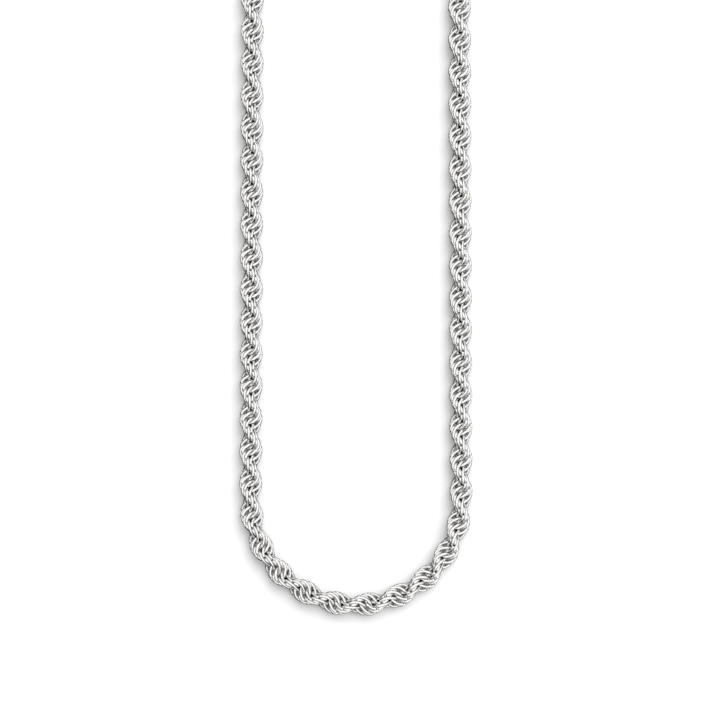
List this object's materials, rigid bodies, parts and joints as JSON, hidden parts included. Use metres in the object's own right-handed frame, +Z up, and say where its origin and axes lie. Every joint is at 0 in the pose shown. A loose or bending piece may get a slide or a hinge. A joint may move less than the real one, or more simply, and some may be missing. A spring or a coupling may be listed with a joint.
{
  "type": "rope chain necklace",
  "caption": "Bright silver rope chain necklace lying flat as a narrow closed loop, with end caps, jump rings and a plain clasp.",
  "frame": {"origin": "middle of the loop's outline in plan, on the surface that the necklace lies on", "axes": "+Z up from the surface, +Y along the loop from its bottom bend to its clasp, +X to the right seen from above"},
  "size_m": [0.0352, 0.2366, 0.0043],
  "materials": {
    "rope_silver": "bright polished silver wire",
    "cap_silver": "polished silver with fine turning marks",
    "ring_silver": "polished silver wire",
    "clasp_silver": "polished cast silver"
  },
  "bodies": {
    "root": {"rope_left": "rope_silver", "rope_right": "rope_silver", "end_cap_left": "cap_silver", "end_cap_right": "cap_silver", "jump_ring_left": "ring_silver", "jump_ring_right": "ring_silver", "clasp": "clasp_silver"}
  },
  "joints": []
}
